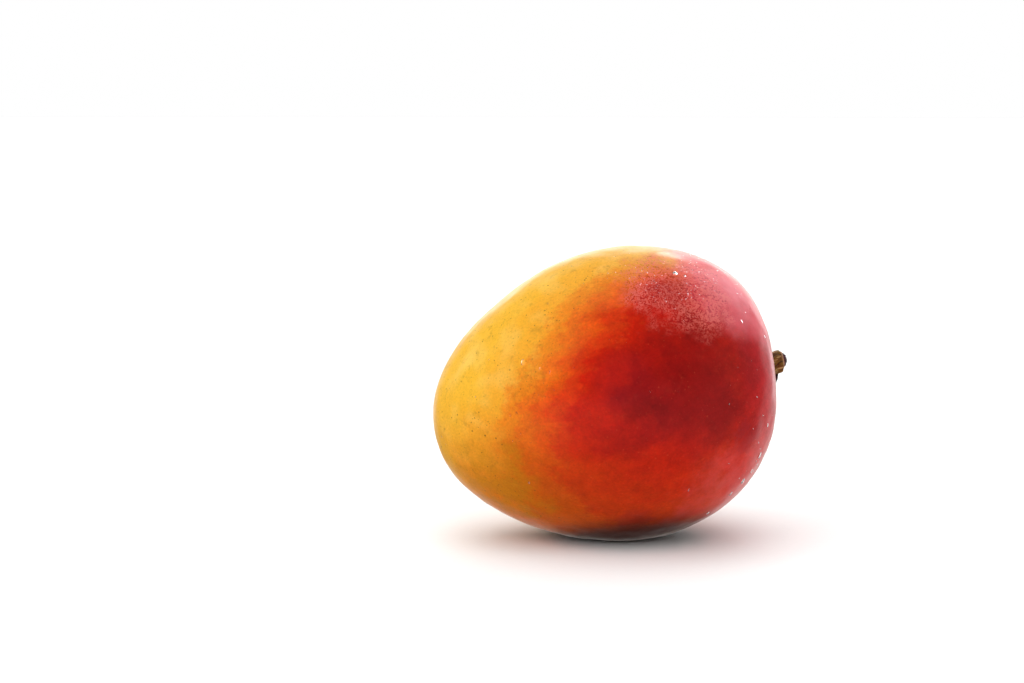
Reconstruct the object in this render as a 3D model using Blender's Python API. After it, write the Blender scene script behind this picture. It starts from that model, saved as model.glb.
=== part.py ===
"""A ripe mango with its short stem stub, lying on the small flat spot that it rests on.

Lengths are in metres. +X points to the stem end, +Z is up, the flat spot lies on Z = 0, and the
origin is below the middle of the whole part's box.
"""

import math

import bmesh
import bpy
from mathutils import Matrix, Vector

MM = 0.001

# The fruit in its own axes: x runs from the tip to the stem, y across the width, with the belly
# side positive, and z across the thickness.
LENGTH = 115 * MM
WIDTH = 99 * MM
THICKNESS = 92.5 * MM
# The girth follows a circle's, times 1 plus these shares of the first four powers of the
# position along the length, which goes from -1 at the tip to 1 at the stem.
GIRTH_TERMS = (0.13, -0.08, 0.08, 0.165)
SHOULDER_LEAN = 0.09  # rise of the belly-side shoulder along x, per unit of width
STEM_OFFSET = -1.5 * MM  # the stem sits towards the back of the fruit
TIP_OFFSET = 0.5 * MM  # and the tip towards its belly
DIMPLE_DEPTH = 3.5 * MM
DIMPLE_RADIUS = 14 * MM
SEGMENTS = 48
RINGS = 40

# How it lies, as turns in degrees from its own axes.
ROLL = 120
STEM_END_UP = 13.3
YAW = 5
FLAT_SPOT_DEPTH = 1.8 * MM  # how far the underside is pressed flat

# The stem stub, measured from the bottom of the dimple along its own axis.
STUB_ROOT = -3 * MM  # it is set this deep in the fruit
STUB_SIDE_TOP = 6.4 * MM
STUB_TOP = 8 * MM
STUB_BASE_RADIUS = 4.5 * MM
STUB_TIP_RADIUS = 3.4 * MM
STUB_CAP_RADIUS = 2.9 * MM
STUB_RIDGES = 7
STUB_RIDGE_HEIGHT = 0.2 * MM
STUB_SEGMENTS = 42
STUB_SIDE_RINGS = 5
STUB_CAP_RINGS = 4

# The dried bract that hangs at the foot of the stub.
BRACT_LENGTH = 4 * MM
BRACT_RADIUS = 0.5 * MM
BRACT_TIP_RADIUS = 0.2 * MM
BRACT_HEIGHT = 3.4 * MM
BRACT_START = 3.2 * MM  # distance from the stub's axis to the bract's root
BRACT_SEGMENTS = 10

CLEARANCE = 0.3 * MM

SKIN_COLOUR = (0.62, 0.16, 0.04)
STEM_COLOUR = (0.16, 0.09, 0.03)


def clear_scene():
    for obj in list(bpy.data.objects):
        bpy.data.objects.remove(obj, do_unlink=True)


def material(name, colour, roughness):
    made = bpy.data.materials.new(name)
    made.use_nodes = True
    shader = made.node_tree.nodes["Principled BSDF"]
    shader.inputs["Base Color"].default_value = (*colour, 1)
    shader.inputs["Roughness"].default_value = roughness
    shader.inputs["Metallic"].default_value = 0
    return made


def add_object(name, mesh_builder):
    """Links an object that holds the bmesh, and frees the bmesh."""
    mesh = bpy.data.meshes.new(name)
    mesh_builder.to_mesh(mesh)
    mesh_builder.free()
    obj = bpy.data.objects.new(name, mesh)
    bpy.context.scene.collection.objects.link(obj)
    return obj


def add_boolean(obj, cutter, operation):
    modifier = obj.modifiers.new(operation.lower(), "BOOLEAN")
    modifier.operation = operation
    modifier.solver = "EXACT"
    modifier.object = cutter
    cutter.hide_render = True
    cutter.display_type = "WIRE"


def smooth_step(share):
    share = min(max(share, 0), 1)
    return share * share * (3 - 2 * share)


def fruit_point(direction):
    """The point of the fruit's surface for a unit vector, in the fruit's own axes."""
    along = direction.x
    girth = 1 + sum(term * along ** (power + 1) for power, term in enumerate(GIRTH_TERMS))
    across = WIDTH / 2 * girth * direction.y
    depth = THICKNESS / 2 * girth * direction.z
    to_stem = smooth_step(along)
    to_tip = smooth_step(-along)
    length = LENGTH / 2 * along + SHOULDER_LEAN * across * to_stem
    if along > 0:
        length -= DIMPLE_DEPTH * math.exp(-(across**2 + depth**2) / DIMPLE_RADIUS**2)
    return Vector((length, across + STEM_OFFSET * to_stem + TIP_OFFSET * to_tip, depth))


def resting_turn():
    """How the fruit lies, as a rotation from its own axes."""
    return (
        Matrix.Rotation(math.radians(YAW), 4, "Z")
        @ Matrix.Rotation(math.radians(-STEM_END_UP), 4, "Y")
        @ Matrix.Rotation(math.radians(ROLL), 4, "X")
    )


def fruit_body():
    """A sphere drawn out into the fruit, in its own axes. The sphere's poles become the stem and the tip."""
    body = bmesh.new()
    bmesh.ops.create_uvsphere(body, u_segments=SEGMENTS, v_segments=RINGS, radius=1)
    for vert in body.verts:
        vert.co = fruit_point(Vector((vert.co.z, vert.co.x, vert.co.y)).normalized())
    return body


def press_flat(body):
    """Cuts off what lies below Z = 0 and closes the cut with one flat face."""
    geometry = body.verts[:] + body.edges[:] + body.faces[:]
    cut = bmesh.ops.bisect_plane(
        body, geom=geometry, plane_co=(0, 0, 0), plane_no=(0, 0, 1), clear_inner=True
    )
    edges = [item for item in cut["geom_cut"] if isinstance(item, bmesh.types.BMEdge)]
    bmesh.ops.contextual_create(body, geom=edges)
    bmesh.ops.recalc_face_normals(body, faces=body.faces[:])


def stub_frame(placement):
    """Axes of the stub: its origin at the bottom of the dimple, its z out of the fruit."""
    foot = fruit_point(Vector((1, 0, 0)))
    outward = Vector((1, -SHOULDER_LEAN, 0)).normalized()
    turn = outward.to_track_quat("Z", "X").to_matrix().to_4x4()
    return placement @ Matrix.Translation(foot) @ turn


def stub_side_radius(height):
    share = max(height, 0) / STUB_SIDE_TOP
    return STUB_BASE_RADIUS + (STUB_TIP_RADIUS - STUB_BASE_RADIUS) * share


def stub_rings():
    """(height, radius, ridge height) of each ring of the stub, from its root to its rounded end."""
    rings = [(STUB_ROOT, STUB_BASE_RADIUS, 0)]
    for step in range(STUB_SIDE_RINGS + 1):
        height = STUB_SIDE_TOP * step / STUB_SIDE_RINGS
        rings.append((height, stub_side_radius(height), STUB_RIDGE_HEIGHT if step else 0))
    for step in range(STUB_CAP_RINGS):
        angle = math.pi / 2 * step / STUB_CAP_RINGS
        height = STUB_SIDE_TOP + (STUB_TOP - STUB_SIDE_TOP) * math.sin(angle)
        rings.append((height, STUB_CAP_RADIUS * math.cos(angle), 0))
    return rings


def stub_body():
    """The stub in its own axes: ribbed side, flat root and a domed end."""
    body = bmesh.new()
    loops = []
    for height, radius, ridge in stub_rings():
        loop = []
        for step in range(STUB_SEGMENTS):
            angle = 2 * math.pi * step / STUB_SEGMENTS
            reach = radius - ridge * (0.5 + 0.5 * math.cos(STUB_RIDGES * angle))
            loop.append(body.verts.new((reach * math.cos(angle), reach * math.sin(angle), height)))
        loops.append(loop)
    for lower, upper in zip(loops, loops[1:]):
        for step in range(STUB_SEGMENTS):
            after = (step + 1) % STUB_SEGMENTS
            body.faces.new((lower[step], lower[after], upper[after], upper[step]))
    body.faces.new(loops[0][::-1])
    end = body.verts.new((0, 0, STUB_TOP))
    for step in range(STUB_SEGMENTS):
        body.faces.new((loops[-1][step], loops[-1][(step + 1) % STUB_SEGMENTS], end))
    return body


def bract_body(hang_angle):
    """A thin pointed spike that leaves the stub's foot at that angle round its axis."""
    body = bmesh.new()
    place = (
        Matrix.Rotation(hang_angle, 4, "Z")
        @ Matrix.Translation((BRACT_START + BRACT_LENGTH / 2, 0, BRACT_HEIGHT))
        @ Matrix.Rotation(math.pi / 2, 4, "Y")
    )
    bmesh.ops.create_cone(
        body,
        cap_ends=True,
        segments=BRACT_SEGMENTS,
        radius1=BRACT_RADIUS,
        radius2=BRACT_TIP_RADIUS,
        depth=BRACT_LENGTH,
        matrix=place,
    )
    return body


def socket_body():
    """What the stub's root and its clearance take out of the fruit."""
    body = bmesh.new()
    floor = STUB_ROOT - CLEARANCE
    bmesh.ops.create_cone(
        body,
        cap_ends=True,
        segments=STUB_SEGMENTS,
        radius1=STUB_BASE_RADIUS + CLEARANCE,
        radius2=STUB_BASE_RADIUS + CLEARANCE,
        depth=STUB_SIDE_TOP - floor,
        matrix=Matrix.Translation((0, 0, (STUB_SIDE_TOP + floor) / 2)),
    )
    return body


def build_mango():
    """Returns the fruit and the stem, each in its own object, resting on Z = 0."""
    turn = resting_turn()
    body = fruit_body()
    lowest = min((turn @ vert.co).z for vert in body.verts)
    placement = Matrix.Translation((0, 0, -lowest - FLAT_SPOT_DEPTH)) @ turn
    body.transform(placement)
    press_flat(body)
    fruit = add_object("fruit", body)
    fruit.data.materials.append(material("mango_skin", SKIN_COLOUR, 0.35))

    frame = stub_frame(placement)
    stub = stub_body()
    stub.transform(frame)
    stem = add_object("stem", stub)
    stem.data.materials.append(material("stem_bark", STEM_COLOUR, 0.7))

    down = frame.to_3x3().inverted() @ Vector((0, 0, -1))
    bract = bract_body(math.atan2(down.y, down.x))
    bract.transform(frame)
    bract_cutter = add_object("bract_shape", bract)
    add_boolean(stem, bract_cutter, "UNION")

    socket = socket_body()
    socket.transform(frame)
    socket_cutter = add_object("socket_shape", socket)
    add_boolean(fruit, socket_cutter, "DIFFERENCE")
    return [fruit, stem], [bract_cutter, socket_cutter]


def centre_on_origin(solids, helpers):
    """Moves every mesh so that the middle of the solids' common box is above the origin."""
    points = [vert.co for obj in solids for vert in obj.data.vertices]
    middle_x = (min(p.x for p in points) + max(p.x for p in points)) / 2
    middle_y = (min(p.y for p in points) + max(p.y for p in points)) / 2
    for obj in solids + helpers:
        obj.data.transform(Matrix.Translation((-middle_x, -middle_y, 0)))
        obj.data.shade_smooth()


clear_scene()
centre_on_origin(*build_mango())
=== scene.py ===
"""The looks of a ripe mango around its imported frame: skin, stem stub, bract and water drops.

Lengths are in metres unless a name ends in MM. Skin patterns are laid out in millimetres in the fruit's
own axes: x from the tip to the stem, y across the width and z across the thickness.
"""

import math
import random

import bpy
import numpy as np
from mathutils import Matrix, Vector, noise


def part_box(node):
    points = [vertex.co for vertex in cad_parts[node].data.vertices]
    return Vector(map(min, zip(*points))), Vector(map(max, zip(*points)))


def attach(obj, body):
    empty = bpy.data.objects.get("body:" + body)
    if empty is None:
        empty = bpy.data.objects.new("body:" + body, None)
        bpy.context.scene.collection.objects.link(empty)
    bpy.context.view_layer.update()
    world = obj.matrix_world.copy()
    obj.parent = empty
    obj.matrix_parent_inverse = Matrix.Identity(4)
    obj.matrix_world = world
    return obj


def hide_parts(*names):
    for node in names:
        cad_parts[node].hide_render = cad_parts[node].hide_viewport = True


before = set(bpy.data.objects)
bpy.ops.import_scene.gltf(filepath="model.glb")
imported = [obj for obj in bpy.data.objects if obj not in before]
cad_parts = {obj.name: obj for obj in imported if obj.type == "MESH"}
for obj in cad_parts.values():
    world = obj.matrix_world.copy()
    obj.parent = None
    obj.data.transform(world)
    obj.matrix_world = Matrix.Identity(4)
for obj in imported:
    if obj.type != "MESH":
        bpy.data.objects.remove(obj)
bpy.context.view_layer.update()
FRUIT_LOW, FRUIT_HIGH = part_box("fruit")
FRUIT_MIDDLE = (FRUIT_LOW + FRUIT_HIGH) / 2

MM = 0.001

# The fruit's form, as in the CAD part.
LENGTH = 115 * MM
WIDTH = 99 * MM
THICKNESS = 92.5 * MM
GIRTH_TERMS = (0.13, -0.08, 0.08, 0.165)
SHOULDER_LEAN = 0.09
STEM_OFFSET = -1.5 * MM
TIP_OFFSET = 0.5 * MM
DIMPLE_DEPTH = 3.5 * MM
DIMPLE_RADIUS = 14 * MM
ROLL = 120
STEM_END_UP = 13.3
YAW = 5
FLAT_SPOT_DEPTH = 1.8 * MM
FLAT_SPOT_ROUNDING = 0.25 * MM

PLACING_CELLS = 40  # squares along each edge of the cube that stands for the fruit while it is placed
SKIN_CELLS = 110  # and of the cube that is drawn out into the skin
WAVER = ((26, 0.55), (11, 0.28), (4.5, 0.11))  # sizes and heights in mm of the skin's unevenness
# The low collar that the skin draws up round the stem, and the dent at the tip.
COLLAR_RADIUS_MM = 5.4
COLLAR_SPREAD_MM = 1.1
COLLAR_HEIGHT = 0.45 * MM
COLLAR_WRINKLES = 9
TIP_DENT_RADIUS_MM = 1.3
TIP_DENT = 0.3 * MM

TURN = (
    Matrix.Rotation(math.radians(YAW), 3, "Z")
    @ Matrix.Rotation(math.radians(-STEM_END_UP), 3, "Y")
    @ Matrix.Rotation(math.radians(ROLL), 3, "X")
)


# ---------------------------------------------------------------- the fruit's form


def smooth_step(share):
    share = np.clip(share, 0, 1)
    return share * share * (3 - 2 * share)


def fruit_points(directions):
    """Points of the fruit's surface for unit vectors, in its own axes."""
    along = directions[:, 0]
    girth = 1 + sum(term * along ** (power + 1) for power, term in enumerate(GIRTH_TERMS))
    across = WIDTH / 2 * girth * directions[:, 1]
    depth = THICKNESS / 2 * girth * directions[:, 2]
    to_stem = smooth_step(along)
    to_tip = smooth_step(-along)
    length = LENGTH / 2 * along + SHOULDER_LEAN * across * to_stem
    dimple = DIMPLE_DEPTH * np.exp(-(across**2 + depth**2) / DIMPLE_RADIUS**2)
    length -= np.where(along > 0, dimple, 0)
    across = across + STEM_OFFSET * to_stem + TIP_OFFSET * to_tip
    return np.stack([length, across, depth], 1)


def cube_sphere(cells):
    """Unit vectors and quads of a sphere that is divided like a cube."""
    index = {}
    quads = []

    def corner(point):
        return index.setdefault(point, len(index))

    steps = range(cells)
    for axis in range(3):
        first, second = (axis + 1) % 3, (axis + 2) % 3
        for side in (0, cells):
            for i in steps:
                for j in steps:
                    loop = []
                    for di, dj in ((0, 0), (1, 0), (1, 1), (0, 1)):
                        point = [0, 0, 0]
                        point[axis], point[first], point[second] = side, i + di, j + dj
                        loop.append(corner(tuple(point)))
                    quads.append(loop if side else loop[::-1])
    lattice = 2 * np.array(list(index), float) / cells - 1
    points = np.tan(lattice * math.pi / 4)
    return points / np.linalg.norm(points, axis=1, keepdims=True), quads


def to_row(own_points):
    """Own-axes points of the fruit in the row frame, before it is set down."""
    return own_points @ np.array(TURN).T


def placement_offset():
    """What takes the turned fruit to its place: the middle of its box over the CAD fruit's."""
    directions, _ = cube_sphere(PLACING_CELLS)
    turned = to_row(fruit_points(directions))
    lift = -turned[:, 2].min() - FLAT_SPOT_DEPTH
    standing = turned[turned[:, 2] + lift >= 0]
    middle = (standing.min(0) + standing.max(0)) / 2
    return np.array([FRUIT_MIDDLE.x - middle[0], FRUIT_MIDDLE.y - middle[1], lift])


OFFSET = placement_offset()


def press_flat(points):
    """Rounds off what reaches the floor, so that the underside ends in a flat spot on Z = 0."""
    points[:, 2] = FLAT_SPOT_ROUNDING * np.logaddexp(0, points[:, 2] / FLAT_SPOT_ROUNDING)
    return points


def surface_point(direction):
    """One point of the skin and its outward normal in the row frame, for a direction in own axes."""
    step = 0.01
    centre = np.array(direction, float) / np.linalg.norm(direction)
    side = np.cross(centre, (0, 0, 1) if abs(centre[2]) < 0.9 else (0, 1, 0))
    side /= np.linalg.norm(side)
    other = np.cross(centre, side)
    probes = np.array([centre, centre + step * side, centre + step * other])
    probes /= np.linalg.norm(probes, axis=1, keepdims=True)
    place, first, second = to_row(fruit_points(probes)) + OFFSET
    normal = np.cross(first - place, second - place)
    return Vector(place), Vector(normal).normalized()


# ---------------------------------------------------------------- node trees


class Tree:
    """A material whose nodes are added by short calls. A value is a socket or a plain number."""

    def __init__(self, name):
        self.material = bpy.data.materials.new(name)
        self.material.use_nodes = True
        self.tree = self.material.node_tree
        self.shader = self.tree.nodes["Principled BSDF"]

    def node(self, kind, **settings):
        made = self.tree.nodes.new(kind)
        for name, value in settings.items():
            setattr(made, name, value)
        return made

    def feed(self, socket, value):
        if isinstance(value, bpy.types.NodeSocket):
            self.tree.links.new(value, socket)
        else:
            socket.default_value = value

    def own_place(self, origin, axes):
        """The shaded point in millimetres along these axes from this origin of the row frame."""
        made = self.node("ShaderNodeMapping", vector_type="TEXTURE")
        made.inputs["Location"].default_value = origin
        made.inputs["Rotation"].default_value = axes.to_euler()
        made.inputs["Scale"].default_value = (MM, MM, MM)
        self.feed(made.inputs["Vector"], self.node("ShaderNodeTexCoord").outputs["Object"])
        return made.outputs[0]

    def math(self, operation, *values):
        made = self.node("ShaderNodeMath", operation=operation)
        for socket, value in zip(made.inputs, values):
            self.feed(socket, value)
        return made.outputs[0]

    def vector(self, operation, *values, output="Vector"):
        made = self.node("ShaderNodeVectorMath", operation=operation)
        for socket, value in zip(made.inputs, values):
            self.feed(socket, value)
        return made.outputs[output]

    def product(self, first, *others):
        for other in others:
            first = self.math("MULTIPLY", first, other)
        return first

    def between(self, value, low, high, to_low=0.0, to_high=1.0):
        """Eases value from low to high into to_low to to_high, and holds it outside them."""
        made = self.node("ShaderNodeMapRange", interpolation_type="SMOOTHSTEP")
        for socket, number in zip(made.inputs, (value, low, high, to_low, to_high)):
            self.feed(socket, number)
        return made.outputs[0]

    def mix(self, share, first, second):
        made = self.node("ShaderNodeMix", data_type="RGBA")
        self.feed(made.inputs[0], share)
        self.feed(made.inputs[6], first)
        self.feed(made.inputs[7], second)
        return made.outputs[2]

    def noise(self, place, size, detail=2.0, roughness=0.5, distortion=0.0):
        """Smooth noise from 0 to 1, whose features are about that size."""
        made = self.node("ShaderNodeTexNoise")
        for name, value in (
            ("Vector", place),
            ("Scale", 1 / size),
            ("Detail", detail),
            ("Roughness", roughness),
            ("Distortion", distortion),
        ):
            self.feed(made.inputs[name], value)
        return made.outputs[0]

    def wander(self, place, size, detail=2.0, roughness=0.5):
        """Smooth noise round zero, from -0.5 to 0.5."""
        return self.math("SUBTRACT", self.noise(place, size, detail, roughness), 0.5)

    def cells(self, place, size):
        """Voronoi cells of that size: how far off the centre is, in cells, and a random tint."""
        made = self.node("ShaderNodeTexVoronoi")
        self.feed(made.inputs["Vector"], place)
        self.feed(made.inputs["Scale"], 1 / size)
        return made.outputs["Distance"], made.outputs["Color"]

    def ramp(self, value, stops):
        made = self.node("ShaderNodeValToRGB")
        made.color_ramp.interpolation = "EASE"
        elements = made.color_ramp.elements
        while len(elements) < len(stops):
            elements.new(1.0)
        for element, (position, colour) in zip(elements, stops):
            element.position = position
            element.color = colour
        self.feed(made.inputs[0], value)
        return made.outputs[0]

    def bump(self, height, distance, strength=1.0, normal=None):
        made = self.node("ShaderNodeBump")
        self.feed(made.inputs["Height"], height)
        self.feed(made.inputs["Distance"], distance)
        self.feed(made.inputs["Strength"], strength)
        if normal is not None:
            self.feed(made.inputs["Normal"], normal)
        return made.outputs[0]

    def finish(self, inputs):
        """Feeds the shader and returns the material. Plain values are set on the shader's sockets."""
        for name, value in inputs.items():
            self.feed(self.shader.inputs[name], value)
        return self.material


class SkinTree(Tree):
    """A material that also knows where on the fruit the shaded point is."""

    def __init__(self, name):
        super().__init__(name)
        self.place = self.own_place(OFFSET, TURN)
        self.direction = self.vector("NORMALIZE", self.place)

    def toward(self, way):
        """The cosine of the angle from that direction."""
        return self.vector("DOT_PRODUCT", self.direction, way, output="Value")

    def patch(self, settings, frayed=0.0):
        """How strong a patch of the skin is here. Noise round zero frays its edge."""
        way, begin, full, strength, fraying = settings
        nearness = self.math("MULTIPLY_ADD", frayed, fraying, self.toward(way))
        return self.between(nearness, begin, full, 0, strength)


# ---------------------------------------------------------------- skin

# Where the sun reached: directions in the fruit's own axes, and the cosines of the angle from them at
# which the blush of the cheek and the steeper one round the stem end begin.
SUNNY_CHEEK = (0.317, 0.313, 0.895)
CHEEK_REACH = 0.411
BLUSH_POLE = (0.990, -0.10, 0.10)
POLE_REACH = 0.42
POLE_SLOPE = 2.0
POLE_FRAYING = 0.28
BLUSH_MERGE = 0.05
FAR_SIDE = (-0.25, -0.3, -0.92)

# Patches of the skin. Each has its direction, the cosines of the angle from it at which the patch
# begins and is full, its strength there, and how frayed its edge is.
BLUSH_PATCHES = (
    ((-0.40, 0.83, 0.39), 0.93, 1.0, -0.08, 0),  # a yellow tongue
    ((0.52, 0.82, 0.24), 0.955, 0.995, 0.20, 0),  # and two flushes above it
    ((0.21, 0.93, 0.30), 0.960, 0.998, 0.075, 0),
)
# Painted shade: where the skin turns to darker copies of its colours, towards the underside.
PAINTED_SHADE_SIDE = ((-0.23, -0.843, 0.487), -0.14, 0.58, 1, 0.3)
DEEP_REDS = (
    ((0.50, 0.50, 0.707), 0.86, 0.99, 0.78, 0.16),
    ((0.04, 0.50, 0.865), 0.95, 1.00, 0.42, 0.16),
)
PINK_END = ((1, 0, 0), 0.72, 0.97, 0.7, 0)
OLIVE_SIDE = ((-0.78, -0.05, 0.62), 0.90, 1.02, 0.65, 0.25)
# Partly a painted reflection: a lilac haze along the edge beside the stem.
HAZE_AND_REFLECTION_SHOULDER = ((0.84, 0.54, -0.06), 0.87, 1.0, 0.85, 0.20)
MISTED_SHOULDER = ((0.53, 0.835, 0.15), 0.92, 0.985, 1, 0.22)
# Painted light: the low side of the stem end is made lighter and pinker where light from below is
# lacking.
PAINTED_LIGHT_SHOULDER = ((0.62, -0.42, 0.66), 0.84, 1.02, 0.38, 0.30)
BRUISES = (
    ((0.74, 0.02, 0.67), 0.988, 0.998, 0.45, 0.02),
    ((0.50, 0.84, 0.20), 0.984, 0.998, 0.22, 0.02),
    ((-0.02, -0.35, 0.94), 0.992, 0.999, 0.25, 0.02),
    ((0.09, 0.70, 0.71), 0.970, 1.000, 0.30, 0.02),
)
# Painted contact shadow: dark skin round the spot that the fruit rests on.
PAINTED_CONTACT_SHADOW_SPOT = ((-0.05, -0.80, 0.60), 0.772, 0.94, 0.94, 0.04)
WAXED_END = ((1, 0, 0), 0.25, 0.55, 0.44, 0)

# Colours of the skin along the blush, from the greenest yellow to the reddest.
BLUSH_COLOURS = (
    (-0.60, (0.84, 0.45, 0.030)),
    (-0.35, (0.86, 0.45, 0.030)),
    (-0.10, (0.87, 0.385, 0.022)),
    (0.02, (0.83, 0.240, 0.008)),
    (0.12, (0.81, 0.152, 0.005)),
    (0.22, (0.76, 0.087, 0.004)),
    (0.31, (0.68, 0.040, 0.004)),
    (0.40, (0.58, 0.013, 0.002)),
    (0.60, (0.51, 0.006, 0.002)),
)
# Darker copies of these colours for the underside: painted shade.
PAINTED_SHADE_COLOURS = (
    (-0.60, (0.58, 0.19, 0.002)),
    (-0.22, (0.66, 0.150, 0.002)),
    (-0.02, (0.55, 0.092, 0.001)),
    (0.18, (0.51, 0.069, 0.002)),
    (0.32, (0.49, 0.036, 0.002)),
    (0.60, (0.53, 0.020, 0.003)),
)
CRIMSON = (0.26, 0.003, 0.004, 1)
STEM_END_PINK = (0.53, 0.020, 0.036, 1)
# partly painted highlights on the yellow
PALE_YELLOW = (0.97, 0.60, 0.12, 1)
GREEN = (0.50, 0.36, 0.02, 1)
OLIVE = (0.42, 0.17, 0.003, 1)
RUST = (0.56, 0.080, 0.004, 1)
OLIVE_DOT = (0.14, 0.06, 0.006, 1)
PALE_DOT = (0.70, 0.10, 0.035, 1)
# The mist's light specks are its painted sparkle, and its dark ones its painted shade.
SALMON_MIST_SPARKLE = (0.82, 0.16, 0.13, 1)
MIST_SHADOW = (0.33, 0.008, 0.015, 1)
# partly a painted reflection along the edge
LILAC_HAZE_AND_REFLECTION = (0.93, 0.115, 0.155, 1)
# painted light low on the stem end
PAINTED_LIGHT_PINK = (0.80, 0.085, 0.085, 1)
BRUISE = (0.20, 0.006, 0.016, 1)
# painted contact shadow round the resting spot
PAINTED_CONTACT_SHADOW = (0.035, 0.005, 0.003, 1)
COLLAR = (0.72, 0.33, 0.15, 1)
TIP_SCAR = (0.16, 0.075, 0.02, 1)

# Size in mm, strength and detail of the noise that breaks up the blush, and how far it is squeezed
# along the fruit, which draws it out into streaks.
BLUSH_NOISE = ((19, 0.14, 2, 1), (6, 0.20, 3, 0.45), (1.5, 0.08, 2, 0.45))
# Size in mm and strength of the soft clouds and the grain that make the skin lighter and darker.
CLOUDS = ((7.0, 0.55), (2.4, 0.34), (0.9, 0.28))
GRAIN = (0.7, 0.40)
CALM_OF_YELLOW = 0.75  # share of the clouds that the yellow skin is without
# Spacing and radius in mm of the three sorts of lenticels.
LENTICELS = ((3.3, 0.46), (2.1, 0.34), (1.4, 0.22))
# Dry skin at the stem and at the tip: the end as a patch, how many mm its edge is frayed, its outer
# and inner radius in mm, its strength and its colour.
DRY_ENDS = (
    (((1, 0, 0), 0.5, 0.6, 1, 0), 4.0, 6.8, 4.8, 0.7, COLLAR),
    (((-1, 0, 0), 0.9, 0.95, 1, 0), 2.6, 1.5, 0.3, 0.6, TIP_SCAR),
)
SKIN_FINISH = {
    "Coat Roughness": 0.22,
    "Specular IOR Level": 0.03,
    "Sheen Weight": 0.42,
    "Sheen Roughness": 0.25,
    "Sheen Tint": (1.0, 0.82, 0.72, 1),
}


def sun_blush(tree):
    """How far the sun has reddened the skin, broken up by blotches and by streaks along the fruit."""
    cheek = tree.math("SUBTRACT", tree.toward(SUNNY_CHEEK), CHEEK_REACH)
    frayed = tree.wander(tree.place, 32, 1)
    pole = tree.math("MULTIPLY_ADD", frayed, POLE_FRAYING, tree.toward(BLUSH_POLE))
    pole = tree.math("MULTIPLY", tree.math("SUBTRACT", pole, POLE_REACH), POLE_SLOPE)
    blush = tree.math("SMOOTH_MAX", cheek, pole, BLUSH_MERGE)
    for settings in BLUSH_PATCHES:
        blush = tree.math("ADD", blush, tree.patch(settings))
    for size, strength, detail, squeeze in BLUSH_NOISE:
        where = tree.vector("MULTIPLY", tree.place, (squeeze, 1, 1))
        blush = tree.math("MULTIPLY_ADD", tree.wander(where, size, detail), strength, blush)
    return blush


def along_blush(tree, blush, colours):
    """The colour for a blush, from (blush, colour) pairs."""
    start, end = colours[0][0], colours[-1][0]
    share = tree.math("DIVIDE", tree.math("SUBTRACT", blush, start), end - start)
    return tree.ramp(share, [((at - start) / (end - start), (*colour, 1)) for at, colour in colours])


def lenticels(tree):
    """How much of a dot is here. The dots crowd in places, and some are short scuffs or smudges."""
    dots = 0.0
    for size, radius in LENTICELS:
        distance, tint = tree.cells(tree.place, size)
        dot = tree.between(distance, radius / size, 0.3 * radius / size)
        dot = tree.math("MULTIPLY", dot, tree.between(tint, 0.3, 0.65, 0.25, 1.0))
        dots = tree.math("MAXIMUM", dots, dot)
    crowded = tree.between(tree.noise(tree.place, 13), 0.35, 0.6, 0.45, 1.0)
    dots = tree.math("MULTIPLY", dots, crowded)
    distance, tint = tree.cells(tree.vector("MULTIPLY", tree.place, (0.30, 0.9, 1.2)), 5)
    chosen = tree.between(tint, 0.45, 0.5, 0, 0.6)
    scuff = tree.math("MULTIPLY", tree.between(distance, 0.075, 0.03), chosen)
    dots = tree.math("MAXIMUM", dots, scuff)
    smudge = tree.between(tree.noise(tree.place, 2.6, 3), 0.58, 0.74, 0, 0.24)
    return tree.math("MAXIMUM", dots, smudge)


def lightness(tree, yellow):
    """What soft clouds, stronger in the red, and grain multiply the skin's colour by."""
    light = 1.0
    for size, strength in CLOUDS:
        light = tree.math("MULTIPLY_ADD", tree.wander(tree.place, size), strength, light)
    calm = tree.math("MULTIPLY", yellow, CALM_OF_YELLOW)
    light = tree.math("MULTIPLY_ADD", tree.math("SUBTRACT", 1.0, light), calm, light)
    size, strength = GRAIN
    return tree.math("MULTIPLY_ADD", tree.wander(tree.place, size), strength, light)


def with_dry_ends(tree, colour):
    """Adds the corky collar round the stem and the dry scar on the tip."""
    off_axis = tree.vector("MULTIPLY", tree.place, (0, 1, 1))
    off_axis = tree.vector("ADD", off_axis, (0, -STEM_OFFSET / MM, 0))
    off_axis = tree.vector("LENGTH", off_axis, output="Value")
    frayed = tree.wander(tree.place, 1.6, 4, 0.6)
    for end, fraying, outer, inner, strength, dry_colour in DRY_ENDS:
        radius = tree.math("MULTIPLY_ADD", frayed, fraying, off_axis)
        share = tree.math("MULTIPLY", tree.between(radius, outer, inner, 0, strength), tree.patch(end))
        colour = tree.mix(share, colour, dry_colour)
    return colour


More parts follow.
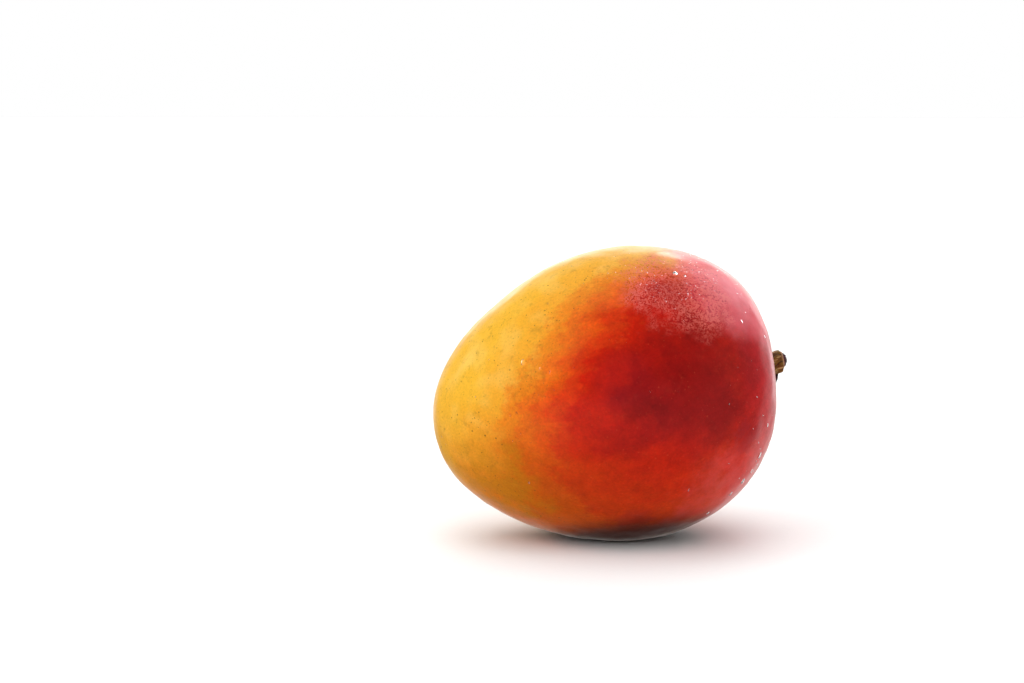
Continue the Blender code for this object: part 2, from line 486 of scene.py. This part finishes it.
def skin_material():
    tree = SkinTree("mango_skin_wax")
    place = tree.place
    blush = sun_blush(tree)
    yellow = tree.between(blush, 0.22, -0.05)
    # Painted shade: towards the underside the colours turn to their darker copies.
    shade = tree.patch(PAINTED_SHADE_SIDE, tree.wander(place, 15))
    sunlit, shaded = (along_blush(tree, blush, row) for row in (BLUSH_COLOURS, PAINTED_SHADE_COLOURS))
    colour = tree.mix(shade, sunlit, shaded)

    # The deepest red, broken up by soft clouds, and the pinker red round the stem.
    cloud = tree.wander(place, 9, 3)
    for settings in DEEP_REDS:
        colour = tree.mix(tree.patch(settings, cloud), colour, CRIMSON)
    colour = tree.mix(tree.patch(PINK_END), colour, STEM_END_PINK)

    # The yellow is paler in patches away from the underside, partly painted highlights; greener where
    # the sun didn't reach, olive low by the tip.
    pale = tree.product(
        tree.between(tree.noise(place, 9, 1), 0.42, 0.70),
        tree.between(shade, 0.8, 0.1),
        tree.between(blush, 0.06, -0.15, 0, 0.35),
    )
    colour = tree.mix(pale, colour, PALE_YELLOW)
    unripe = tree.product(
        tree.between(tree.noise(place, 21, 3, 0.55), 0.42, 0.72),
        tree.between(blush, 0.0, -0.4),
        tree.between(tree.toward(FAR_SIDE), -0.3, 0.6, 0.10, 0.62),
    )
    colour = tree.mix(unripe, colour, GREEN)
    olive = tree.math("MULTIPLY", tree.patch(OLIVE_SIDE, tree.wander(place, 6, 4)), yellow)
    colour = tree.mix(olive, colour, OLIVE)

    # Olive dots on the yellow skin and faint pale ones on the red.
    dots = lenticels(tree)
    dot_colour = tree.mix(tree.between(blush, 0.0, 0.25), OLIVE_DOT, PALE_DOT)
    dot_share = tree.math("MULTIPLY", dots, tree.between(blush, 0.0, 0.3, 0.9, 0.2))
    colour = tree.mix(dot_share, colour, dot_colour)

    # Rusty speckles where the yellow turns to red.
    rusty = tree.product(
        tree.between(tree.noise(place, 1.1, 3, 0.6), 0.52, 0.66, 0, 0.28),
        tree.between(blush, -0.20, 0.02),
        tree.between(blush, 0.34, 0.16),
    )
    colour = tree.mix(rusty, colour, RUST)
    colour = tree.vector("MULTIPLY", colour, lightness(tree, yellow))

    # A pale haze by the stem, partly a painted reflection, and beside it a fine mist: light and dark
    # specks, its painted sparkle and shade.
    frayed = tree.wander(place, 11, 3)
    colour = tree.mix(tree.patch(HAZE_AND_REFLECTION_SHOULDER, frayed), colour, LILAC_HAZE_AND_REFLECTION)
    misted = tree.patch(MISTED_SHOULDER, frayed)
    speck = tree.noise(place, 1.0, 2, 0.7, 1.5)
    # Painted sparkle and shade of the condensation.
    light_speck = tree.math("MULTIPLY", misted, tree.between(speck, 0.44, 0.57, 0.05, 0.75))
    colour = tree.mix(light_speck, colour, SALMON_MIST_SPARKLE)
    dark_speck = tree.math("MULTIPLY", misted, tree.between(speck, 0.44, 0.36, 0, 0.7))
    colour = tree.mix(dark_speck, colour, MIST_SHADOW)

    # Painted light low on the stem end, bruises, and a painted contact shadow round the spot it rests
    # on.
    frayed = tree.wander(place, 5, 4, 0.6)
    colour = tree.mix(tree.patch(PAINTED_LIGHT_SHOULDER, frayed), colour, PAINTED_LIGHT_PINK)
    for settings in BRUISES:
        colour = tree.mix(tree.patch(settings, frayed), colour, BRUISE)
    painted_contact_shadow = tree.patch(PAINTED_CONTACT_SHADOW_SPOT, frayed)
    colour = tree.mix(painted_contact_shadow, colour, PAINTED_CONTACT_SHADOW)
    colour = with_dry_ends(tree, colour)

    # The wax is thinner on the shaded side, except by the stem, and none is in the painted contact
    # shadow.
    waxed = tree.math("MAXIMUM", tree.between(shade, 0.0, 0.7, 0.38, 0.12), tree.patch(WAXED_END))
    waxed = tree.math("MULTIPLY", tree.between(painted_contact_shadow, 0.6, 0), waxed)
    roughness = tree.between(tree.noise(place, 4, 4), 0.3, 0.7, 0.34, 0.46)

    # Pores, shallow dents, the mist's beads and the lenticels: their shape, height and strength.
    normal = None
    for shape, height, strength in (
        (tree.noise(place, 0.45, 3), 0.03 * MM, 0.6),
        (tree.noise(place, 3.5), 0.12 * MM, 0.7),
        (tree.math("MULTIPLY", speck, misted), 0.10 * MM, 0.8),
        (dots, 0.04 * MM, 0.7),
    ):
        normal = tree.bump(shape, height, strength, normal)
    varied = {"Base Color": colour, "Roughness": roughness, "Coat Weight": waxed, "Normal": normal}
    return tree.finish(varied | SKIN_FINISH)


def add_object(name, data):
    obj = bpy.data.objects.new(name, data)
    bpy.context.scene.collection.objects.link(obj)
    return obj


def add_piece(name, mesh, material):
    mesh.materials.append(material)
    mesh.shade_smooth()
    return add_object(name, mesh)


def waver(own_points):
    """Moves each point of the skin a little in or out, as no fruit is quite even."""
    moved = np.empty_like(own_points)
    for row, point in enumerate(own_points):
        place = Vector(point / MM)
        height = sum(reach * noise.noise(place / size) for size, reach in WAVER)
        moved[row] = point * (1 + height / place.length)
    return moved


def pucker(own_points):
    """Draws the skin up into a low wrinkled collar round the stem and dents it at the tip."""
    across = own_points[:, 1:] - (STEM_OFFSET, 0)
    off_axis = np.linalg.norm(across, axis=1) / MM
    angle = np.arctan2(across[:, 1], across[:, 0])
    wrinkles = 0.75 + 0.25 * np.cos(COLLAR_WRINKLES * angle + np.sin(2 * angle))
    from_crest = (off_axis - COLLAR_RADIUS_MM) / COLLAR_SPREAD_MM
    collar = COLLAR_HEIGHT * wrinkles * np.exp(-(from_crest**2))
    dent = TIP_DENT * np.exp(-((off_axis / TIP_DENT_RADIUS_MM) ** 2))
    moved = own_points.copy()
    moved[:, 0] += np.where(own_points[:, 0] > 0, collar, dent)
    return moved


def make_skin():
    directions, quads = cube_sphere(SKIN_CELLS)
    own = pucker(waver(fruit_points(directions)))
    placed = press_flat(to_row(own) + OFFSET)
    mesh = bpy.data.meshes.new("skin")
    mesh.from_pydata([tuple(point) for point in placed], [], quads)
    return add_piece("skin", mesh, skin_material())


skin = make_skin()
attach(skin, "root")
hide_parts("fruit")


# ---------------------------------------------------------------- stem stub and bract

# Height along the stub's axis and radius, in mm, from the root up the side, over the lip and the
# dead cap to the middle of its end.
STUB_OUTLINE_MM = (
    (-3.0, 4.2),
    (-0.6, 4.35),
    (0.3, 4.5),
    (1.6, 4.25),
    (3.4, 4.0),
    (5.0, 3.8),
    (5.9, 3.62),
    (6.25, 3.35),
    (6.22, 3.1),
    (6.5, 2.92),
    (6.72, 2.75),
    (6.6, 2.56),
    (6.42, 2.45),
    (6.75, 2.36),
    (7.3, 2.05),
    (7.72, 1.45),
    (7.92, 0.7),
    (7.96, 0.0),
)
STUB_STEPS = 6  # rings between two points of the outline
STUB_SEGMENTS = 120
SIDE_RADIUS_MM = (2.95, 3.3)  # the side grows out of the lip between these radii
CAP_RADIUS_MM = (2.62, 2.4)  # and the lip ends and the cap is full between these
CAP_RISE_MM = 0.4  # the cap sits off the axis, towards the top
SCAR_RINGS_MM = (2.2, 4.1)  # heights of the rings that fallen stalks left
SCAR_RING_WIDTH_MM = 0.17

STUB_RIDGES = 7
# How far the dried side stands out or in, in mm.
RIDGE_MM = 0.42
VALLEY_MM = -0.38
FIBRE_MM = 0.16
LUMP_MM = 0.30
SCAR_RING_MM = -0.17
LIP_WAVE_MM = 0.22
CAP_LOBES = 4
# How far the cap's knobs and pits rise and its cracks sink, in mm.
KNOB_MM = 0.55
PIT_MM = 0.22
CRACK_MM = 0.45
CRACK_WIDTH = 0.35  # of a lobe
CRACKS_FROM_MM = 0.8  # the cracks are full from this radius on

BRACT_START_MM = 3.3  # from the stub's axis to the bract's root
BRACT_SUNK_MM = 0.3  # its root goes on this far into the stub
BRACT_REACH_MM = 4.0
BRACT_TIP_MM = 0.25
BRACT_HEIGHT_MM = 4.0
BRACT_DROOP_MM = 0.5
BRACT_KINK_MM = 0.22
BRACT_ARCH_MM = 0.25
BRACT_WIDTH_MM = 0.72
BRACT_TAPER = 0.7
BRACT_FLATNESS = 0.7
BRACT_ROUGHNESS = 0.35
BRACT_RINGS = 30
BRACT_SEGMENTS = 14

BARK_OLIVE = (0.22, 0.10, 0.008, 1)
BARK_BROWN = (0.16, 0.048, 0.006, 1)
# paler ridge tops, partly a painted highlight
BARK_CREAM_AND_HIGHLIGHT = (0.66, 0.42, 0.17, 1)
BARK_GREEN = (0.12, 0.10, 0.025, 1)
# dark fibres, and painted shade in the valleys between the ridges
BARK_GRAIN_AND_CREVICE_SHADE = (0.035, 0.012, 0.005, 1)
LIP_PEACH = (0.70, 0.34, 0.18, 1)
CAP_MAROON = (0.085, 0.016, 0.026, 1)
CAP_BLACK = (0.014, 0.006, 0.009, 1)
BARK_SPECULAR = 0.25


def stub_axes():
    """The stub's foot at the bottom of the dimple, and its axes with z outward, in the row frame."""
    foot = to_row(fruit_points(np.array([[1.0, 0.0, 0.0]])))[0] + OFFSET
    outward = Vector((1, -SHOULDER_LEAN, 0)).normalized()
    return Vector(foot), TURN @ outward.to_track_quat("Z", "X").to_matrix()


STUB_FOOT, STUB_TURN = stub_axes()
STUB_DOWN = STUB_TURN.inverted() @ Vector((0, 0, -1))
HANG_ANGLE = math.atan2(STUB_DOWN.y, STUB_DOWN.x)


def smooth_curve(points, steps):
    """Points of a Catmull-Rom curve through the given ones."""
    points = np.array(points, float)
    padded = np.vstack([2 * points[0] - points[1], points, 2 * points[-1] - points[-2]])
    curve = []
    for before, start, end, after in zip(padded, padded[1:], padded[2:], padded[3:]):
        for share in np.arange(steps) / steps:
            bend = (2 * before - 5 * start + 4 * end - after) * share**2
            twist = (3 * start - before - 3 * end + after) * share**3
            curve.append(start + ((end - before) * share + bend + twist) / 2)
    return curve + [points[-1]]


def share_between(value, low, high):
    return float(smooth_step((value - low) / (high - low)))


def dried(height, radius, angle):
    """The dried stub's point for one of its smooth outline, and its shares of crest, cap and lip."""
    around = Vector((math.cos(angle), math.sin(angle), 0))
    side = share_between(radius, *SIDE_RADIUS_MM)
    cap = share_between(radius, *CAP_RADIUS_MM)
    lip = (1 - side) * (1 - cap)
    # The side has wandering ridges, fine fibres, lumps and rings.
    bent = angle + 0.5 * noise.noise(around * 1.3 + Vector((0, 0, height * 0.25)))
    crest = abs(math.cos(STUB_RIDGES / 2 * bent)) ** 0.7
    fibre = noise.noise(Vector((around.x * 7, around.y * 7, height * 0.6)))
    lump = noise.noise(around * 1.6 + Vector((5, 0, height * 0.55)))
    ring_height = height + 0.5 * noise.noise(around * 1.5)
    rings = sum(math.exp(-(((ring_height - ring) / SCAR_RING_WIDTH_MM) ** 2)) for ring in SCAR_RINGS_MM)
    relief = RIDGE_MM * crest + VALLEY_MM + FIBRE_MM * fibre + LUMP_MM * lump + SCAR_RING_MM * rings
    reach = radius + side * relief + lip * LIP_WAVE_MM * noise.noise(around * 2.6)
    place = around * reach + Vector((0, 0, height))
    # The cap is cracked into lobes and stands off the middle.
    lobe = abs(math.cos(CAP_LOBES / 2 * angle + 0.8 + 0.7 * noise.noise(around * 1.2)))
    crack = max(0.0, 1 - lobe / CRACK_WIDTH) * min(radius / CRACKS_FROM_MM, 1.0)
    knob = noise.noise(Vector((place.x * 0.75, place.y * 0.75, 3.0)))
    pits = noise.noise(Vector((place.x * 2.4, place.y * 2.4, 8.0)))
    place.z += cap * (KNOB_MM * knob + PIT_MM * pits - CRACK_MM * crack)
    place.xy -= (1 - side) * CAP_RISE_MM * STUB_DOWN.xy.normalized()
    return place, (crest * side, cap, lip)


def lathe_faces(rings, segments):
    """Faces of stacked rings that close on two more points, the first ring's and the last one's."""
    first_end, last_end = rings * segments, rings * segments + 1
    faces = []
    for step in range(segments):
        after = (step + 1) % segments
        for ring in range(rings - 1):
            low, high = ring * segments, (ring + 1) * segments
            faces.append((low + step, low + after, high + after, high + step))
        last = (rings - 1) * segments
        faces.append((after, step, first_end))
        faces.append((last + step, last + after, last_end))
    return faces


def stub_mesh():
    outline = smooth_curve(STUB_OUTLINE_MM, STUB_STEPS)
    places, zones = [], []
    for height, radius in outline[:-1]:
        for step in range(STUB_SEGMENTS):
            place, zone = dried(height, radius, math.tau * step / STUB_SEGMENTS)
            places.append(place)
            zones.append(zone)
    end, zone = dried(*outline[-1], 0.0)
    root = Vector((0, 0, outline[0][0]))
    faces = lathe_faces(len(outline) - 1, STUB_SEGMENTS)
    mesh = bpy.data.meshes.new("stub")
    rows = [STUB_FOOT + STUB_TURN @ (place * MM) for place in places + [root, end]]
    mesh.from_pydata(rows, [], faces)
    layer = mesh.attributes.new("zones", "FLOAT_VECTOR", "POINT")
    for item, value in zip(layer.data, zones + [(0, 0, 0), zone]):
        item.vector = value
    return mesh


def bract_mesh():
    """A dry, kinked spike that hangs from the foot of the stub."""
    out = Vector((math.cos(HANG_ANGLE), math.sin(HANG_ANGLE), 0))
    sideways = Vector((-out.y, out.x, 0))
    places = []
    for ring in range(BRACT_RINGS):
        share = ring / (BRACT_RINGS - 1)
        kink = BRACT_KINK_MM * math.sin(2.2 * math.pi * share)
        lift = BRACT_ARCH_MM * math.sin(1.6 * math.pi * share) - BRACT_DROOP_MM * share
        centre = out * (BRACT_START_MM + BRACT_REACH_MM * share) + sideways * kink
        centre += Vector((0, 0, BRACT_HEIGHT_MM + lift))
        width = BRACT_WIDTH_MM * (1 - BRACT_TAPER * share**2)
        for step in range(BRACT_SEGMENTS):
            angle = math.tau * step / BRACT_SEGMENTS
            around = Vector((math.cos(angle), math.sin(angle), 6 * share))
            rough = 1 + BRACT_ROUGHNESS * noise.noise(around * 1.5)
            spoke = sideways * math.cos(angle) + Vector((0, 0, BRACT_FLATNESS * math.sin(angle)))
            places.append(centre + spoke * width * rough)
    root = out * (BRACT_START_MM - BRACT_SUNK_MM) + Vector((0, 0, BRACT_HEIGHT_MM))
    tip = places[-1] + out * BRACT_TIP_MM
    mesh = bpy.data.meshes.new("bract")
    rows = [STUB_FOOT + STUB_TURN @ (place * MM) for place in places + [root, tip]]
    mesh.from_pydata(rows, [], lathe_faces(BRACT_RINGS, BRACT_SEGMENTS))
    return mesh


def bark_material():
    """Dry fibrous bark with a pale lip and a dark, cracked cap."""
    tree = Tree("stem_bark_dry")
    place = tree.own_place(STUB_FOOT, STUB_TURN)
    zones = tree.node("ShaderNodeAttribute", attribute_name="zones").outputs["Vector"]
    split = tree.node("ShaderNodeSeparateXYZ")
    tree.feed(split.inputs[0], zones)
    crest, cap, lip = split.outputs
    fibres = tree.noise(tree.vector("MULTIPLY", place, (1, 1, 0.16)), 0.45, 4, 0.6)
    blotch = tree.noise(place, 2.2, 3)
    colour = tree.mix(tree.between(blotch, 0.4, 0.62), BARK_OLIVE, BARK_BROWN)
    colour = tree.mix(tree.between(tree.noise(place, 3.1, 2), 0.54, 0.68, 0, 0.6), colour, BARK_GREEN)
    colour = tree.mix(tree.between(fibres, 0.42, 0.3, 0, 0.8), colour, BARK_GRAIN_AND_CREVICE_SHADE)
    # Painted shade in the valleys between the ridges; the ridge tops paler, partly a painted highlight.
    colour = tree.mix(tree.between(crest, 0.42, 0.1, 0, 0.85), colour, BARK_GRAIN_AND_CREVICE_SHADE)
    cream = tree.between(fibres, 0.45, 0.62, 0, 0.8)
    cream = tree.math("MULTIPLY", tree.between(crest, 0.88, 1.0), cream)
    colour = tree.mix(cream, colour, BARK_CREAM_AND_HIGHLIGHT)
    peach = tree.math("MULTIPLY", lip, tree.between(blotch, 0.3, 0.6, 0.95, 0.5))
    colour = tree.mix(peach, colour, LIP_PEACH)
    dead = tree.mix(tree.between(tree.noise(place, 1.1, 4), 0.42, 0.6), CAP_BLACK, CAP_MAROON)
    colour = tree.mix(cap, colour, dead)
    dull, shiny = tree.between(fibres, 0.3, 0.7, 0.75, 0.5), tree.between(blotch, 0.3, 0.7, 0.28, 0.45)
    grain = tree.bump(fibres, 0.18 * MM, 0.8)
    pits = tree.bump(tree.noise(place, 0.3, 3), 0.05 * MM, 0.8, grain)
    return tree.finish(
        {
            "Base Color": colour,
            "Roughness": tree.mix(cap, dull, shiny),
            "Specular IOR Level": BARK_SPECULAR,
            "Normal": pits,
        }
    )


def husk_material():
    """The blackish husk of the bract, streaked along it."""
    tree = Tree("bract_husk")
    place = tree.own_place(STUB_FOOT, STUB_TURN @ Matrix.Rotation(HANG_ANGLE, 3, "Z"))
    streaks = tree.noise(tree.vector("MULTIPLY", place, (0.2, 1, 1)), 0.25, 3)
    return tree.finish(
        {
            "Base Color": tree.mix(tree.between(streaks, 0.4, 0.65), CAP_BLACK, CAP_MAROON),
            "Roughness": tree.between(streaks, 0.3, 0.7, 0.65, 0.4),
            "Normal": tree.bump(streaks, 0.08 * MM, 0.8),
        }
    )


stub = add_piece("stub", stub_mesh(), bark_material())
bract = add_piece("bract", bract_mesh(), husk_material())
for piece in (stub, bract):
    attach(piece, "root")
    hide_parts("stem")


# ---------------------------------------------------------------- water drops

# The larger drops: degrees from the stem end, degrees round from the belly, width in mm and length
# as a share of it.
DROPS = (
    (61, 3, 1.6, 1.5),
    (58, 4.5, 0.9, 1.3),
    (63, 29, 1.2, 1.8),
    (69, 26, 0.6, 1.2),
    (40, 28, 1.2, 2.2),
    (40, 24, 0.7, 1.6),
    (26, 33, 1.3, 1.6),
    (29, 22, 0.7, 1.5),
    (24, 36, 0.6, 2.0),
    (33, 92, 0.8, 1.6),
    (39, 108, 1.3, 1.7),
    (44, 114, 1.0, 1.4),
    (49, 115, 1.8, 1.4),
    (55, 118, 1.3, 1.7),
    (62, 103, 0.6, 2.6),
    (72, 99, 0.5, 2.8),
    (65, 123, 1.9, 1.5),
    (68, 120, 1.0, 1.3),
    (115, 28, 1.6, 1.5),
    (107, 37, 0.9, 1.4),
    (110, 34, 0.9, 1.8),
    (123, 87, 0.7, 1.3),
)
# Where small beads gather: degrees from the stem end, degrees round, spread in degrees, how many, and
# their widths in mm.
BEAD_CLUSTERS = (
    (52, 12, 14, 300, 0.20, 0.42),
    (66, 18, 9, 90, 0.20, 0.42),
    (33, 26, 8, 60, 0.25, 0.70),
    (50, 114, 10, 45, 0.25, 0.65),
    (111, 37, 5, 40, 0.25, 0.55),
    (60, -120, 22, 120, 0.25, 0.80),
)
BEAD_CHAINS = (6, -0.15)  # how fine the noise that strings the beads is, and where it leaves them out
STRAY_BEADS = 110
STRAY_WIDTHS_MM = (0.2, 0.55)
LOWEST_STRAY = -0.45  # none is where the skin faces down more than this
BEAD_LENGTHS = (1.0, 1.4)  # of beads, as a share of their width
DROP_HEIGHT = 0.32  # of its width
DROP_SINK = 0.06
DROP_SAG = 0.16  # how far its top is down the skin from its middle, as a share of its length
# Waves round its edge: how many, their height, and how fast they turn with the drop's own phase.
DROP_WAVES = ((2, 0.10, 1), (5, 0.05, 2))
DROP_SEED = 12
BEAD_RINGS, BEAD_SEGMENTS = 4, 10
DROP_RINGS, DROP_SEGMENTS = 9, 28

# a painted reflection of the skin in the drops
WATER_PINK = (1, 0.82, 0.80, 1)
WATER_PALE = (1, 0.92, 0.90, 1)
WATER_IOR = 1.33
WATER_SPECULAR = 0.3


def direction_at(from_stem, around):
    from_stem, around = math.radians(from_stem), math.radians(around)
    across = math.sin(from_stem)
    return (math.cos(from_stem), across * math.cos(around), across * math.sin(around))


def add_drop(rows, faces, way, width, length, rings, segments, chance):
    """Adds one flattened drop that sags down the skin, as a closed shape."""
    place, normal = surface_point(way)
    down = Vector((0, 0, -1))
    along = (down - normal * down.dot(normal)).normalized()
    side = normal.cross(along)
    phase = chance.uniform(0, math.tau)
    sag = DROP_SAG * length * width
    start = len(rows)
    for ring in range(rings):
        rise = math.pi / 2 * ring / rings
        for step in range(segments):
            angle = math.tau * step / segments
            edge = 1
            for count, wave, turn in DROP_WAVES:
                edge += wave * math.sin(count * angle + turn * phase)
            spread = width / 2 * math.cos(rise) * edge
            down_skin = spread * length * math.sin(angle) + sag * math.sin(rise)
            height = width * (DROP_HEIGHT * math.sin(rise) - DROP_SINK)
            rows.append(place + side * spread * math.cos(angle) + along * down_skin + normal * height)
    rows.append(place - normal * width * 2 * DROP_SINK)
    rows.append(place + along * sag + normal * width * (DROP_HEIGHT - DROP_SINK))
    faces += [tuple(start + corner for corner in face) for face in lathe_faces(rings, segments)]


def scattered_beads(chance):
    """(direction, width) of the small beads."""
    fineness, gap = BEAD_CHAINS
    beads = []
    for from_stem, around, spread, count, small, large in BEAD_CLUSTERS:
        for _ in range(count):
            turn = spread / math.sin(math.radians(from_stem))
            way = direction_at(chance.gauss(from_stem, spread), chance.gauss(around, turn))
            if noise.noise(Vector(way) * fineness) > gap:
                beads.append((way, small + (large - small) * chance.random() ** 2))
    for _ in range(STRAY_BEADS):
        way = Vector([chance.gauss(0, 1) for _ in range(3)]).normalized()
        width = chance.uniform(*STRAY_WIDTHS_MM)
        if (TURN @ way).z > LOWEST_STRAY:
            beads.append((tuple(way), width))
    return beads


def drops_mesh():
    chance = random.Random(DROP_SEED)
    rows, faces = [], []
    for from_stem, around, width, length in DROPS:
        way = direction_at(from_stem, around)
        add_drop(rows, faces, way, width * MM, length, DROP_RINGS, DROP_SEGMENTS, chance)
    for way, width in scattered_beads(chance):
        length = chance.uniform(*BEAD_LENGTHS)
        add_drop(rows, faces, way, width * MM, length, BEAD_RINGS, BEAD_SEGMENTS, chance)
    mesh = bpy.data.meshes.new("water_drops")
    mesh.from_pydata(rows, [], faces)
    return mesh


def water_material():
    """Clear water, tinted a little pink: a painted reflection of the skin round it."""
    tree = Tree("clear_water")
    ripple = tree.noise(tree.own_place(OFFSET, TURN), 0.5)
    return tree.finish(
        {
            "Base Color": tree.mix(ripple, WATER_PINK, WATER_PALE),
            "Roughness": tree.between(ripple, 0.3, 0.7, 0.07, 0.13),
            "Transmission Weight": 1.0,
            "IOR": WATER_IOR,
            "Specular IOR Level": WATER_SPECULAR,
            "Normal": tree.bump(ripple, 0.01 * MM, 0.4),
        }
    )


drops = add_piece("water_drops", drops_mesh(), water_material())
drops.visible_shadow = False
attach(drops, "root")


# ---------------------------------------------------------------- floor, light and camera

FLOOR_SIZE = 12.0
PAPER_GRAIN = 0.002
PAPER_DARK = (0.78, 0.78, 0.78, 1)
PAPER_LIGHT = (0.81, 0.81, 0.81, 1)
PAPER_ROUGHNESS = 0.85
PAPER_SPECULAR = 0.2

CAMERA_DISTANCE = 0.804
CAMERA_ELEVATION = 7.77
CAMERA_DOWN = 6.586  # how far the view points below the horizon
CAMERA_LEFT = 2.2  # and how far left of +Y
CAMERA_LENS_MM = 85
SENSOR_MM = 36

LAMP_DISTANCE = 1.1
# Softboxes that the skin mirrors. Each has degrees right of straight behind the fruit, degrees up,
# width, height, radiance and colour.
SOFTBOXES = {
    "window_right": (62, 42, 1.15, 0.75, 2.3, (0.92, 0.92, 1.0)),
    "softbox_left": (-64, 19, 0.28, 0.36, 3.0, (1.0, 0.84, 0.5)),
    "window_back": (11, 32, 0.10, 0.13, 9.0, (1.0, 0.95, 0.93)),
    "card_back": (4, 17, 1.0, 0.5, 1.5, (1.0, 0.98, 0.90)),
    "card_right": (36, 4, 0.25, 0.5, 2.4, (1.0, 0.88, 0.92)),
}
# Large soft lights, which it doesn't mirror: where from, strength and spread in degrees.
SKYLIGHTS = {
    "overhead": ((-0.15, 0.35, 1.0), 1.72, 60),
    "key_left": ((-0.8, -0.4, 0.6), 1.72, 60),
    "fill_right": ((0.9, -0.1, 0.05), 1.0, 60),
    "rim_back": ((0.1, 0.9, 0.5), 0.5, 40),
}
FLOOR_LIGHT = ((0.25, -0.7, 1.0), 1.5, 60)  # another one, which lights nothing but the floor

WORLD_BACKDROP = (1.0, 1.0, 1.0, 1)
WORLD_ROOM = (0.17, 0.165, 0.15, 1)
# The edges of the backdrop: the axis of a unit vector, where on it the backdrop is gone and full.
BACKDROP_EDGES = (("Y", 0.30, 0.68), ("X", -0.7, -0.15), ("Z", 0.8, 0.45), ("Z", -0.75, -0.45))


def make_floor():
    mesh = bpy.data.meshes.new("floor")
    half = FLOOR_SIZE / 2
    corners = [(-half, -half, 0), (half, -half, 0), (half, half, 0), (-half, half, 0)]
    mesh.from_pydata(corners, [], [(0, 1, 2, 3)])
    tree = Tree("floor_paper")
    grain = tree.noise(tree.node("ShaderNodeTexCoord").outputs["Object"], PAPER_GRAIN, 4)
    paper = tree.finish(
        {
            "Base Color": tree.mix(grain, PAPER_DARK, PAPER_LIGHT),
            "Roughness": PAPER_ROUGHNESS,
            "Specular IOR Level": PAPER_SPECULAR,
        }
    )
    floor = add_piece("floor", mesh, paper)
    floor.visible_glossy = False  # or its far edge would show in the waxy skin as a line
    return floor


def make_world():
    """A dim room with a white backdrop behind the fruit. The camera sees only white."""
    world = bpy.data.worlds.new("studio")
    bpy.context.scene.world = world
    world.use_nodes = True
    tree = world.node_tree

    def ease(value, low, high):
        made = tree.nodes.new("ShaderNodeMapRange")
        made.interpolation_type = "SMOOTHSTEP"
        tree.links.new(value, made.inputs["Value"])
        made.inputs["From Min"].default_value = low
        made.inputs["From Max"].default_value = high
        return made.outputs[0]

    def joined(operation, first, second):
        made = tree.nodes.new("ShaderNodeMath")
        made.operation = operation
        tree.links.new(first, made.inputs[0])
        tree.links.new(second, made.inputs[1])
        return made.outputs[0]

    split = tree.nodes.new("ShaderNodeSeparateXYZ")
    tree.links.new(tree.nodes.new("ShaderNodeTexCoord").outputs["Generated"], split.inputs[0])
    edges = [ease(split.outputs[axis], gone, full) for axis, gone, full in BACKDROP_EDGES]
    backdrop = edges[0]
    for edge in edges[1:]:
        backdrop = joined("MULTIPLY", backdrop, edge)
    seen = joined("MAXIMUM", backdrop, tree.nodes.new("ShaderNodeLightPath").outputs["Is Camera Ray"])
    mix = tree.nodes.new("ShaderNodeMix")
    mix.data_type = "RGBA"
    tree.links.new(seen, mix.inputs[0])
    mix.inputs[6].default_value = WORLD_ROOM
    mix.inputs[7].default_value = WORLD_BACKDROP
    tree.links.new(mix.outputs[2], tree.nodes["Background"].inputs["Color"])


def add_sun(name, origin, strength, spread):
    lamp = bpy.data.lights.new(name, "SUN")
    lamp.energy = strength
    lamp.angle = math.radians(spread)
    obj = add_object(name, lamp)
    obj.rotation_euler = (-Vector(origin)).to_track_quat("-Z", "Y").to_euler()
    obj.visible_glossy = False
    return obj


def add_softbox(name, right, up, width, height, radiance, colour):
    right, up = math.radians(right), math.radians(up)
    way = Vector((math.sin(right) * math.cos(up), math.cos(right) * math.cos(up), math.sin(up)))
    lamp = bpy.data.lights.new(name, "AREA")
    lamp.shape = "RECTANGLE"
    lamp.size, lamp.size_y = width, height
    lamp.energy = math.pi * width * height * radiance
    lamp.color = colour
    obj = add_object(name, lamp)
    obj.location = FRUIT_MIDDLE + LAMP_DISTANCE * way
    obj.rotation_euler = (-way).to_track_quat("-Z", "Y").to_euler()
    obj.visible_diffuse = False
    obj.visible_camera = False


def make_lamps(floor):
    for name, settings in SOFTBOXES.items():
        add_softbox(name, *settings)
    for name, settings in SKYLIGHTS.items():
        add_sun(name, *settings)
    only_floor = bpy.data.collections.new("only_floor")
    only_floor.objects.link(floor)
    add_sun("floor_light", *FLOOR_LIGHT).light_linking.receiver_collection = only_floor


def make_camera():
    camera = bpy.data.cameras.new("camera")
    camera.lens = CAMERA_LENS_MM
    camera.sensor_width = SENSOR_MM
    obj = add_object("camera", camera)
    up = math.radians(CAMERA_ELEVATION)
    obj.location = FRUIT_MIDDLE + CAMERA_DISTANCE * Vector((0, -math.cos(up), math.sin(up)))
    obj.rotation_euler = (math.radians(90 - CAMERA_DOWN), 0, math.radians(CAMERA_LEFT))
    bpy.context.scene.camera = obj


floor = make_floor()
make_world()
make_lamps(floor)
make_camera()
bpy.context.scene.view_settings.view_transform = "Standard"

bpy.context.view_layer.update()
